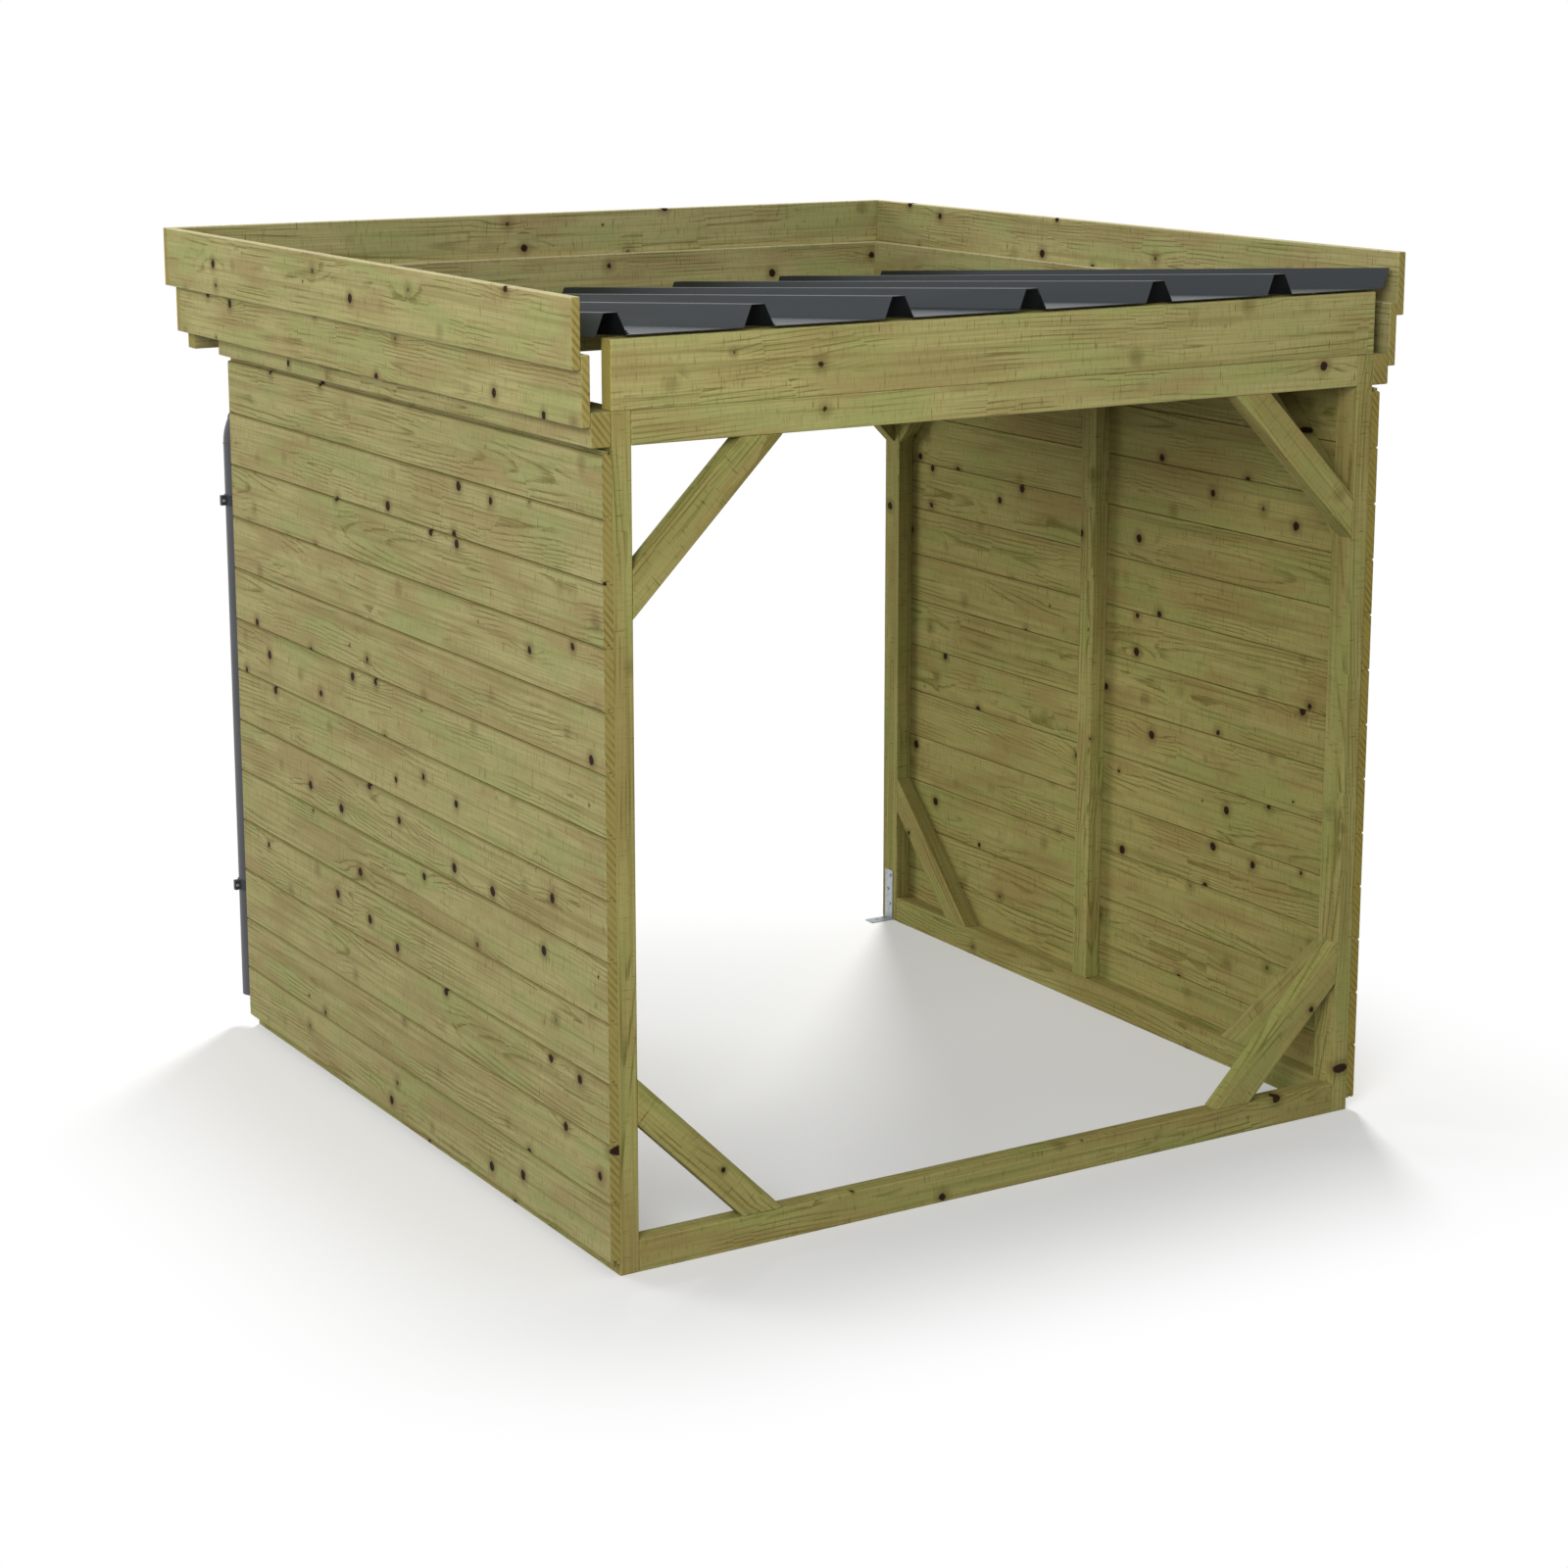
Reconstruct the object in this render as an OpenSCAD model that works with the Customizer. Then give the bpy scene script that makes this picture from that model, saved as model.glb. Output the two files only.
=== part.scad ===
// Open timber log store with two boarded walls, a parapet of fascia boards
// and a ribbed steel roof that falls to a hidden gutter at the back.
// The tall open side is the front (-Y). Millimetres, +Z up, and the origin is
// the middle of the footprint at floor level.

/* [Frame] */
// Width of the frame over its corner posts
frame_w = 1960; // [1300:10:3000]
// Depth of the frame over its corner posts
frame_d = 1950; // [1300:10:3000]
// Height of the posts
frame_h = 1798; // [1400:1:2400]
// Thickness of the frame timber
timber_t = 45; // [36:1:60]
// Width of the frame timber
timber_w = 70; // [58:1:90]
// Width of the middle studs along the wall
stud_w = 58; // [45:1:90]
// Distance from the front face to the middle studs
stud_y = 977; // [600:1:1200]

/* [Braces] */
// Length of each leg that a brace takes off its corner
brace_leg = 350; // [220:5:500]
// Width of the brace timber
brace_w = 70; // [45:1:95]

/* [Wall boards] */
// Height that a board covers, to the nearest that fills a wall with whole boards
board_cover = 129.5; // [90:0.5:145]
// Thickness of the boards
board_t = 22; // [16:1:28]
// Height of the lowest edge of the boards over the floor
board_lift = 28; // [10:1:60]
// Gap between the boards and the rail over them
board_head = 14; // [11:0.5:30]
// Open joint between two boards
board_joint = 0.8; // [0.4:0.1:2]
// Bevel on the outer edges of a board
bevel_out = 3.5; // [1:0.5:5]
// Bevel on the inner edges of a board
bevel_in = 1.5; // [0.5:0.5:3]
// Length of the tongue on a board
tongue_l = 8; // [5:0.5:10]
// Thickness of the tongue
tongue_t = 6; // [4:0.5:8]
// Room round a tongue in its groove
tongue_room = 0.6; // [0.3:0.1:1]

/* [Parapet] */
// Thickness of the rails outside the posts
rail_t = 45; // [28:1:60]
// Height of the rails
rail_h = 70; // [58:1:90]
// Thickness of the fascia boards
fascia_t = 20; // [18:1:28]
// Height of the fascia boards
fascia_h = 143; // [120:1:170]
// Height by which a fascia board laps what is under it
fascia_lap = 29; // [15:1:45]
// Clear depth behind the frame, where the gutter hangs
eave_gap = 158; // [130:1:240]

/* [Roof] */
// Height of the front roof beam
beam_h = 142; // [110:1:180]
// Thickness of the front roof beam
beam_t = 40; // [28:1:50]
// Height of the roof over the beam at the front face
roof_lift = 5.8; // [4:0.1:10]
// Gap between a roof timber and the sheets where they are nearest
roof_seat = 0.5; // [0.2:0.1:2]
// Thickness of the roof sheets
sheet_t = 1; // [0.6:0.1:1.5]
// Distance from rib to rib
rib_pitch = 335.5; // [250:0.1:350]
// Height of the ribs
rib_h = 45; // [30:1:50]
// Width of a rib at its foot
rib_foot = 70; // [60:1:90]
// Width of a rib at its top
rib_top = 30; // [24:1:40]
// Distance from the left face of the frame to the middle of the first rib
rib_first = 2; // [2:1:60]
// Number of the rib at which the right sheet laps the left one
lap_rib = 3; // [1:1:4]
// Gap between lapped sheets
lap_gap = 0.3; // [0.2:0.1:1]
// Gap between the sheets and the boards round them
sheet_edge = 3; // [2:1:6]

/* [Gutter and downpipe] */
// Outer radius of the half-round gutter
gutter_r = 45; // [35:1:60]
// Wall of the gutter
gutter_wall = 2; // [1.5:0.5:3]
// Height of the strip by which the gutter is fixed to the back rail
gutter_strip = 16; // [10:1:20]
// Depth of the gutter's rim under the top of the back rail
gutter_drop = 22; // [20:1:40]
// Distance from the frame's side to the ends of the gutter
gutter_end = 25; // [10:1:80]
// Outer radius of the downpipe
pipe_r = 30; // [25:1:40]
// Wall of the downpipe
pipe_wall = 2; // [1.5:0.5:3]
// Distance from the frame's left face to the middle of the downpipe
pipe_x = 6; // [0:1:40]
// Gap between the frame and the downpipe
pipe_gap = 8; // [4:1:20]
// Height of the lower end of the downpipe over the floor
pipe_foot = 74; // [40:1:200]
// Distance from the frame's left face to the middle of the gutter outlet
outlet_x = 120; // [110:1:200]
// Radius of the bends of the downpipe along its middle
bend_r = 75; // [60:1:90]
// Lean of the pipe between the two bends
bend_a = 45; // [35:5:60]
// Depth of the outlet tube under the gutter
outlet_l = 30; // [28:1:40]
// Depth of the spigot and of the socket of a bend
socket_l = 26; // [15:1:26]
// Thickness of the shoulders on which a bend and the pipes seat
seat_t = 3; // [2:0.5:4]
// Height of the bead round a bend over the pipe
bead = 1; // [0.5:0.5:2]
// Room between a pipe and what fits in it or round it
pipe_room = 0.4; // [0.2:0.1:1]
// Height of the lower clamp of the downpipe
clamp_low = 367; // [200:1:600]
// Distance from the top of the upright pipe down to its upper clamp
clamp_drop = 140; // [60:1:400]
// Height of a clamp's band
clamp_h = 25; // [15:1:35]
// Thickness of a clamp's band
clamp_t = 3; // [2:0.5:4]
// Length of a clamp's ear beside the pipe
ear_l = 14; // [10:1:20]

/* [Foot angles] */
// Width of a foot angle
angle_w = 37; // [30:1:60]
// Height of the upright leg
angle_h = 145; // [80:1:200]
// Length of the leg on the floor
angle_l = 70; // [50:1:100]
// Thickness of the steel
angle_t = 2.5; // [2:0.5:4]
// Diameter of the anchor hole
anchor_d = 11; // [9:0.5:14]
// Distance from the upright leg to the middle of the anchor hole
anchor_x = 42; // [30:1:50]

/* [Hidden] */
half_w = frame_w / 2;
total_d = frame_d + eave_gap + rail_t + 2 * fascia_t;
rail_z = frame_h - rail_h;
lintel_z = frame_h - timber_w;
low_z = frame_h - fascia_lap;
boards_h = rail_z - board_head - board_lift;
board_count = round(boards_h / board_cover);
board_pitch = boards_h / board_count;
high_z = low_z + fascia_h - fascia_lap;
low_x = half_w + rail_t;
high_x = low_x + fascia_t;
eave_y = frame_d + eave_gap;
low_y = eave_y + rail_t;
high_y = low_y + fascia_t;
purlin_y = stud_y + stud_w / 2 - timber_t / 2;
// the underside of the sheets: a plane that falls from front to back
roof_z = frame_h + beam_h + roof_lift;
roof_a = atan((roof_z - frame_h - roof_seat) / frame_d);
function under_roof(y) = roof_z - y * tan(roof_a);
purlin_h = under_roof(purlin_y + timber_t) - roof_seat - frame_h;
sheet_l = (eave_y - sheet_edge - rib_h * sin(roof_a)) / cos(roof_a);
sheet_right = low_x - sheet_edge;
rib_run = (rib_foot - rib_top) / 2;
rib_x0 = rib_first - half_w;
rib_last = floor((sheet_right - rib_x0 + rib_foot / 2) / rib_pitch);
lap_in = sheet_t + lap_gap;
gutter_y = eave_y - gutter_r;
gutter_z = frame_h - gutter_drop;
pipe_y = frame_d + pipe_gap + pipe_r;
pipe_turn = atan2(gutter_y - pipe_y, outlet_x - pipe_x);
pipe_run = norm([outlet_x - pipe_x, gutter_y - pipe_y]);
bend_out = bend_r * (1 - cos(bend_a)) + seat_t / 2 * sin(bend_a);
bend_up = bend_r * sin(bend_a) + seat_t / 2 * (1 + cos(bend_a));
slant_l = (pipe_run - 2 * bend_out) / sin(bend_a);
outlet_z = gutter_z - gutter_r + gutter_wall / 2 - outlet_l;
slant_top = outlet_z - bend_up;
slant_foot = slant_top - slant_l * cos(bend_a);
pipe_top = slant_foot - bend_up;
clamp_high = pipe_top - clamp_drop;
pipe_bore = pipe_r - pipe_wall;
spigot_r = pipe_bore - pipe_room;
$fn = 64;

// ---- helpers: inside in_frame() y runs from the front face of the frame ----

module in_frame() {
    translate([0, -total_d / 2, 0]) children();
}

// a timber given by its lowest corner and its size
module timber(at, size) {
    color([0.55, 0.52, 0.33]) in_frame() translate(at) cube(size);
}

module left_or_right(side) {
    mirror([side < 0 ? 1 : 0, 0, 0]) children();
}

// turns a drawing in x, y into one in x, z that is extruded along +Y
module along_y(l) {
    translate([0, l, 0]) rotate([90, 0, 0]) linear_extrude(height = l) children();
}

// turns a drawing in x, y into one in y, z that is extruded along +X
module along_x(l) {
    rotate([90, 0, 90]) linear_extrude(height = l) children();
}

// ---- plates, posts, studs and lintels ----

module front_sole_plate() {
    timber([timber_t - half_w, 0, 0], [frame_w - 2 * timber_t, timber_t, timber_w]);
}

// a plate of a side wall, between its posts
module side_plate(side, z) {
    left_or_right(side)
        timber([half_w - timber_t, timber_w, z], [timber_t, frame_d - 2 * timber_w, timber_w]);
}

module side_top_plates() {
    for (side = [-1, 1]) side_plate(side, lintel_z);
}

module post(side, y) {
    left_or_right(side) timber([half_w - timber_t, y, 0], [timber_t, timber_w, frame_h]);
}

// the middle studs, between the sole plates and the top plates
module side_studs() {
    for (side = [-1, 1]) left_or_right(side)
        timber([half_w - timber_t, stud_y, timber_w], [timber_t, stud_w, lintel_z - timber_w]);
}

module lintel(y) {
    timber([timber_t - half_w, y, lintel_z], [frame_w - 2 * timber_t, timber_t, timber_w]);
}

// ---- braces: a 45 degree strut across a corner at the drawing's origin ----

module brace_outline() {
    inner_leg = brace_leg - brace_w * sqrt(2);
    polygon([[brace_leg, 0], [0, brace_leg], [0, inner_leg], [inner_leg, 0]]);
}

// in the front or back frame, between a post and a lintel or sole plate
module cross_brace(side, y, top) {
    color([0.55, 0.52, 0.33]) in_frame() left_or_right(-side)
        translate([timber_t - half_w, y, top ? lintel_z : timber_w])
            along_y(timber_t) mirror([0, top ? 1 : 0, 0]) brace_outline();
}

// in a side wall, between a post and a plate
module wall_brace(side, back, top) {
    color([0.55, 0.52, 0.33]) in_frame() left_or_right(side)
        translate([half_w - timber_t, back ? frame_d - timber_w : timber_w, top ? lintel_z : timber_w])
            along_x(timber_t) mirror([back ? 1 : 0, 0, 0])
                mirror([0, top ? 1 : 0, 0]) brace_outline();
}

// ---- tongued and grooved wall boards ----

// section of one board: x from its inner face outwards, y up
module board_section() {
    h = board_pitch - board_joint;
    m = board_t / 2;
    t = tongue_t / 2;
    g = t + tongue_room;
    polygon([
        [0, bevel_in], [bevel_in, 0],
        [m - g, 0], [m - g, tongue_l + tongue_room],
        [m + g, tongue_l + tongue_room], [m + g, 0],
        [board_t - bevel_out, 0], [board_t, bevel_out],
        [board_t, h - bevel_out], [board_t - bevel_out, h],
        [m + t, h], [m + t, h + tongue_l], [m - t, h + tongue_l], [m - t, h],
        [bevel_in, h], [0, h - bevel_in]
    ]);
}

module wall_boards(side) {
    color([0.58, 0.54, 0.36]) in_frame() left_or_right(side)
        for (k = [0 : board_count - 1])
            translate([half_w, 0, board_lift + k * board_pitch])
                along_y(frame_d) board_section();
}

// ---- rails and fascia boards ----

module side_rail(side) {
    left_or_right(side) timber([half_w, 0, rail_z], [rail_t, frame_d, rail_h]);
}

module back_rail() {
    timber([-low_x, eave_y, rail_z], [2 * low_x, rail_t, rail_h]);
}

module side_lower_fascia(side) {
    left_or_right(side) timber([low_x, 0, low_z], [fascia_t, low_y, fascia_h]);
}

module side_upper_fascia(side) {
    left_or_right(side) timber([high_x, 0, high_z], [fascia_t, high_y, fascia_h]);
}

module back_lower_fascia() {
    timber([-high_x, low_y, low_z], [2 * high_x, fascia_t, fascia_h]);
}

module back_upper_fascia() {
    timber([-high_x - fascia_t, high_y, high_z], [2 * (high_x + fascia_t), fascia_t, fascia_h]);
}

// ---- roof timbers and sheets ----

module front_roof_beam() {
    timber([-half_w, 0, frame_h], [frame_w, beam_t, beam_h]);
}

module middle_purlin() {
    timber([-half_w, purlin_y, frame_h], [frame_w, timber_t, purlin_h]);
}

// underside of rib k, drawn in by `inset` all round
function rib_line(k, inset = 0) =
    let (
        x = rib_x0 + k * rib_pitch,
        shift = inset * norm([rib_run, rib_h]) / rib_h,
        foot = rib_foot / 2 - shift,
        top = foot - rib_run * (1 - inset / rib_h)
    )
    [[x - foot, 0], [x - top, rib_h - inset], [x + top, rib_h - inset], [x + foot, 0]];

// a point of a line moved out to its left by t, mitred at the corners
function left_of(a, b) = [a[1] - b[1], b[0] - a[0]] / norm(b - a);
function moved(p, i, t) =
    let (
        n = len(p) - 1,
        a = left_of(p[max(i - 1, 0)], p[max(i, 1)]),
        b = left_of(p[min(i, n - 1)], p[min(i + 1, n)])
    )
    p[i] + t * (a + b) / (1 + a * b);
function band(p, t) = concat(p, [for (i = [len(p) - 1 : -1 : 0]) moved(p, i, t)]);
function joined(lists) = [for (l = lists) each l];

// puts a sheet's section on the slope and runs it from the eave to the front
module on_slope() {
    y = eave_y - sheet_edge - rib_h * sin(roof_a);
    color([0.22, 0.24, 0.26]) in_frame() translate([0, y, under_roof(y)])
        rotate([90 - roof_a, 0, 0]) linear_extrude(height = sheet_l) children();
}

// ends under the first rib of the right sheet, a little way down its far side
module left_roof_sheet() {
    lap = rib_line(lap_rib, lap_in);
    way = 0.3;
    line = concat(
        joined([for (k = [0 : lap_rib - 1]) rib_line(k)]),
        [lap[0], lap[1], lap[2], lap[2] * (1 - way) + lap[3] * way]
    );
    on_slope() polygon(band(line, sheet_t));
}

// starts just clear of the left sheet's trough and ends against the right boards
module right_roof_sheet() {
    first = rib_line(lap_rib);
    way = 3 * lap_in / rib_h;
    line = concat(
        [first[0] * (1 - way) + first[1] * way, first[1], first[2], first[3]],
        joined([for (k = [lap_rib + 1 : rib_last]) rib_line(k)]),
        [[sheet_right + rib_pitch, 0]]
    );
    on_slope() intersection() {
        polygon(band(line, sheet_t));
        translate([-half_w, -rib_h]) square([half_w + sheet_right, 3 * rib_h]);
    }
}

// ---- gutter and downpipe ----

module gutter_section(r) {
    intersection() {
        circle(r = r);
        translate([-r, -r]) square([2 * r, r]);
    }
}

module gutter() {
    l = frame_w - 2 * gutter_end;
    color([0.3, 0.31, 0.33]) in_frame() difference() {
        union() {
            translate([gutter_end - half_w, gutter_y, gutter_z]) {
                along_x(l) difference() {
                    gutter_section(gutter_r);
                    translate([0, 0.01]) gutter_section(gutter_r - gutter_wall);
                }
                along_x(gutter_wall) gutter_section(gutter_r);
                translate([l - gutter_wall, 0, 0]) along_x(gutter_wall) gutter_section(gutter_r);
                along_x(l) translate([gutter_r - gutter_wall, 0]) square([gutter_wall, gutter_strip]);
            }
            translate([outlet_x - half_w, gutter_y, outlet_z]) cylinder(r = pipe_r, h = outlet_l);
        }
        translate([outlet_x - half_w, gutter_y, outlet_z - 1])
            cylinder(r = pipe_bore, h = outlet_l + gutter_r);
    }
}

// puts its children at a place along the offset, given by the run and the height
module on_offset(run, z) {
    in_frame() translate([pipe_x - half_w, pipe_y, 0])
        rotate([0, 0, pipe_turn]) translate([run, 0, z]) children();
}

module pipe(l) {
    linear_extrude(height = l) difference() {
        circle(r = pipe_r);
        circle(r = pipe_bore);
    }
}

// the upright pipe, and the short one that leans between the bends
module downpipe() {
    color([0.3, 0.31, 0.33]) {
        on_offset(0, pipe_foot) pipe(pipe_top - pipe_foot);
        on_offset(bend_out, slant_foot) rotate([0, bend_a, 0]) pipe(slant_l);
    }
}

// a bend that starts upright and leans towards +X, from its lower shoulder:
// the spigot goes into the pipe below, and the socket takes the pipe above
module pipe_bend() {
    socket_r = pipe_r + pipe_room;
    rotate_extrude() polygon([
        [spigot_r - pipe_wall, -socket_l], [spigot_r, -socket_l], [spigot_r, 0],
        [pipe_r + bead, 0], [pipe_r + bead, seat_t], [spigot_r - pipe_wall, seat_t]
    ]);
    translate([bend_r, 0, seat_t / 2]) rotate([90, 0, 180]) rotate_extrude(angle = bend_a)
        translate([bend_r, 0]) difference() {
            circle(r = pipe_r);
            circle(r = pipe_bore);
        }
    translate([bend_out, 0, bend_up]) rotate([0, bend_a, 0]) rotate_extrude() polygon([
        [spigot_r - pipe_wall, -seat_t], [socket_r + pipe_wall, -seat_t],
        [socket_r + pipe_wall, socket_l], [socket_r, socket_l],
        [socket_r, 0], [spigot_r - pipe_wall, 0]
    ]);
}

module downpipe_bends() {
    color([0.3, 0.31, 0.33]) {
        on_offset(0, pipe_top) pipe_bend();
        on_offset(pipe_run - bend_out, slant_top) rotate([0, bend_a, 0]) rotate([0, 0, 180]) pipe_bend();
    }
}

// each is a band round the pipe, a foot on the post and an ear for its screw
module downpipe_clamps() {
    color([0.2, 0.21, 0.23]) in_frame() for (z = [clamp_low, clamp_high])
        translate([pipe_x - half_w, pipe_y, z - clamp_h / 2])
            linear_extrude(height = clamp_h) difference() {
                union() {
                    circle(r = pipe_r + clamp_t);
                    translate([0, -pipe_r - pipe_gap]) square([timber_t / 2, pipe_gap + pipe_r / 2]);
                    translate([-pipe_r - ear_l, -2 * clamp_t]) square([ear_l + clamp_t, 4 * clamp_t]);
                }
                circle(r = pipe_r);
            }
}

// ---- foot angles on the back posts ----

module foot_angles() {
    color([0.62, 0.64, 0.66]) in_frame() for (side = [-1, 1]) left_or_right(side)
        translate([half_w - timber_t, frame_d - timber_w / 2 - angle_w / 2, 0])
            difference() {
                along_y(angle_w) polygon([
                    [0, 0], [0, angle_h], [-angle_t, angle_h],
                    [-angle_t, angle_t], [-angle_l, angle_t], [-angle_l, 0]
                ]);
                translate([-anchor_x, angle_w / 2, -1]) cylinder(d = anchor_d, h = angle_t + 2);
            }
}

front_sole_plate();
side_plate(-1, 0);  // left_sole_plate
side_plate(1, 0);  // right_sole_plate
post(-1, 0);  // front_left_post
post(1, 0);  // front_right_post
post(-1, frame_d - timber_w);  // back_left_post
post(1, frame_d - timber_w);  // back_right_post
side_studs();
side_top_plates();
lintel(0);  // front_lintel
lintel(frame_d - timber_t);  // back_lintel
cross_brace(-1, 0, true);  // front_top_left_brace
cross_brace(1, 0, true);  // front_top_right_brace
cross_brace(-1, 0, false);  // front_bottom_left_brace
cross_brace(1, 0, false);  // front_bottom_right_brace
cross_brace(-1, frame_d - timber_t, true);  // back_top_left_brace
cross_brace(1, frame_d - timber_t, true);  // back_top_right_brace
wall_brace(-1, false, true);  // left_wall_front_top_brace
wall_brace(-1, true, true);  // left_wall_back_top_brace
wall_brace(-1, false, false);  // left_wall_front_bottom_brace
wall_brace(-1, true, false);  // left_wall_back_bottom_brace
wall_brace(1, false, true);  // right_wall_front_top_brace
wall_brace(1, true, true);  // right_wall_back_top_brace
wall_brace(1, false, false);  // right_wall_front_bottom_brace
wall_brace(1, true, false);  // right_wall_back_bottom_brace
wall_boards(-1);  // left_wall_boards
wall_boards(1);  // right_wall_boards
side_rail(-1);  // left_rail
side_rail(1);  // right_rail
back_rail();
side_lower_fascia(-1);  // left_lower_fascia
side_upper_fascia(-1);  // left_upper_fascia
side_lower_fascia(1);  // right_lower_fascia
side_upper_fascia(1);  // right_upper_fascia
back_lower_fascia();
back_upper_fascia();
front_roof_beam();
middle_purlin();
left_roof_sheet();
right_roof_sheet();
gutter();
downpipe();
downpipe_bends();
downpipe_clamps();
foot_angles();
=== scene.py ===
"""Finishes the open timber log store: sawn and planed pine, coated roof sheets,
rainwater goods, screws and the studio round it.

The part stands on the floor with its open front towards -Y. Sizes are in metres.
"""
import functools
import math
import random

import bmesh
import bpy
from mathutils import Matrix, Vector
from mathutils.bvhtree import BVHTree


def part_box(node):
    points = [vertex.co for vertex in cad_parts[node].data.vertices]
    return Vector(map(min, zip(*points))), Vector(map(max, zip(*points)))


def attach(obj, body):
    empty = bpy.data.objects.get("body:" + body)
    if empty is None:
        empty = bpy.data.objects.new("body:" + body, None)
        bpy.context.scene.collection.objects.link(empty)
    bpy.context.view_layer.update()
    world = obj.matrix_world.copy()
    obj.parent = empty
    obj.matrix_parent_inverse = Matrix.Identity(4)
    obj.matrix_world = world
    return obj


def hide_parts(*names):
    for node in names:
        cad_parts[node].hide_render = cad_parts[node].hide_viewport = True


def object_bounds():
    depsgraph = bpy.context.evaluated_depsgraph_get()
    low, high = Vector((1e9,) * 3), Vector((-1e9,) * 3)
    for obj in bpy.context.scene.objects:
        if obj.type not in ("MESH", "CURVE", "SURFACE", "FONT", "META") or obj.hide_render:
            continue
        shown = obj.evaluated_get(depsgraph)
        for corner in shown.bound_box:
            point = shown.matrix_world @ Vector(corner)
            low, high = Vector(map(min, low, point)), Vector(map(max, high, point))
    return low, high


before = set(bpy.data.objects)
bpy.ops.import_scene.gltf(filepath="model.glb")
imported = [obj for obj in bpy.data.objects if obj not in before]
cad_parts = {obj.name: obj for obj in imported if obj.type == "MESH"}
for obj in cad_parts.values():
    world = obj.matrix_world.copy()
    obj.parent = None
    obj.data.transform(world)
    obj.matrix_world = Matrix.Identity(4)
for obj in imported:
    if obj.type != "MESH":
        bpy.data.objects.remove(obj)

bl_info = {
    "name": "Log store",
    "version": (1, 0, 0),
    "blender": (4, 5, 0),
    "location": "View3D > Sidebar > Log store",
    "description": "Timber, roof, rainwater goods, screws and studio of an open log store",
    "category": "Object",
}

MM = 0.001
MERGE_DISTANCE = 1e-6
CAD_BOX = [list(corner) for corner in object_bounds()]

FRAME_NODES = sorted(
    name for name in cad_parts
    if any(part in name for part in ("plate", "post", "stud", "brace", "purlin"))
)
HEAD_NODES = ["back_lintel", "front_lintel", "front_roof_beam"]
RAIL_NODES = ["back_rail", "left_rail", "right_rail"]
BOARD_NODES = ["left_wall_boards", "right_wall_boards"]
FASCIA_NODES = sorted(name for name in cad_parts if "fascia" in name)
SHEET_NODES = ["left_roof_sheet", "right_roof_sheet"]


# ---- sizes and colours that a user would change ----

def colour_property(name, description, hex_code):
    return bpy.props.StringProperty(name=name, description=description, default=hex_code)


class LogStoreTimber(bpy.types.PropertyGroup):
    """Pressure-treated pine of the frame, the boards and the parapet"""

    arris: bpy.props.FloatProperty(
        name="Arris", description="Width of the eased edges of a timber",
        default=2.5 * MM, unit="LENGTH")
    ring_gap: bpy.props.FloatProperty(
        name="Ring gap", description="Distance between two growth rings",
        default=10 * MM, unit="LENGTH")
    knot_gap: bpy.props.FloatProperty(
        name="Knot gap", description="Distance along the trunk between two branches",
        default=160 * MM, unit="LENGTH")
    knot_width: bpy.props.FloatProperty(
        name="Knot width", description="Diameter of a full knot",
        default=24 * MM, unit="LENGTH")
    pale: colour_property("Pale wood", "Early wood of a growth ring", "#BCB37C")
    dark: colour_property("Dark wood", "Late wood of a growth ring", "#786F3D")
    green: colour_property("Green cast", "Where the copper of the treatment shows", "#A4AA6C")
    brown: colour_property("Brown cast", "Where heartwood took little treatment", "#A89566")
    # painted highlight: paler wood painted on the top faces of the fascia boards, standing in for
    # the light from above
    faded: colour_property("Faded wood", "Top edge of a fascia board, faded by the sun", "#DCD2A6")
    knot: colour_property("Knot", "Core of a knot", "#2E1E14")
    knot_rim: colour_property("Knot rim", "Resin stain round a knot", "#5C4424")
    end_pale: colour_property("Pale end grain", "Early wood on a cut end", "#AB9C59")
    end_dark: colour_property("Dark end grain", "Late wood on a cut end", "#81733B")
    frame_cast: colour_property(
        "Frame cast", "Multiplies the wood of the frame timbers", "#EBEBD3")
    board_cast: colour_property(
        "Board cast", "Multiplies the wood of the left boards and the rails", "#EDEDEE")
    # painted shade: a darker, warmer copy of the wood for the right wall's boards, standing in for
    # the shade and the warm bounce inside the bay
    painted_shade_cast: colour_property("Shade cast", "Multiplies the wood of the right boards", "#E9E6D0")
    fascia_cast: colour_property(
        "Fascia cast", "Multiplies the wood of the fascia boards", "#F6F6F6")
    head_cast: colour_property(
        "Head cast", "Multiplies the wood of the beam and lintels", "#FFFFF3")


class LogStoreRoof(bpy.types.PropertyGroup):
    """Coated steel sheets and their screws"""

    rib_pitch: bpy.props.FloatProperty(
        name="Rib pitch", description="Distance between two ribs of a sheet",
        default=335.5 * MM, unit="LENGTH")
    first_rib: bpy.props.FloatProperty(
        name="First rib", description="Middle of the first rib, from the frame's left side",
        default=2 * MM, unit="LENGTH")
    screw_gap: bpy.props.FloatProperty(
        name="Screw gap", description="Distance from the middle of a rib to its screws",
        default=48 * MM, unit="LENGTH")
    head: bpy.props.FloatProperty(
        name="Head", description="Width of a hexagonal screw head over its corners",
        default=9.2 * MM, unit="LENGTH")
    head_height: bpy.props.FloatProperty(
        name="Head height", description="Height of a hexagonal screw head",
        default=5 * MM, unit="LENGTH")
    washer: bpy.props.FloatProperty(
        name="Washer", description="Diameter of the washer under a roofing screw",
        default=16 * MM, unit="LENGTH")
    washer_height: bpy.props.FloatProperty(
        name="Washer height", description="Thickness of the washer",
        default=2.5 * MM, unit="LENGTH")
    coat: colour_property("Coat", "Anthracite polyester coat of the sheets", "#1B2327")
    coat_roughness: bpy.props.FloatProperty(
        name="Coat roughness", description="Roughness of the coat of the sheets",
        default=0.43, min=0.0, max=1.0, subtype="FACTOR")
    dust: colour_property("Dust", "Dust that rain leaves in runs down a sheet", "#6A6E70")
    backing: colour_property("Backing", "Thin matt coat on the underside of the sheets", "#141718")


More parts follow.
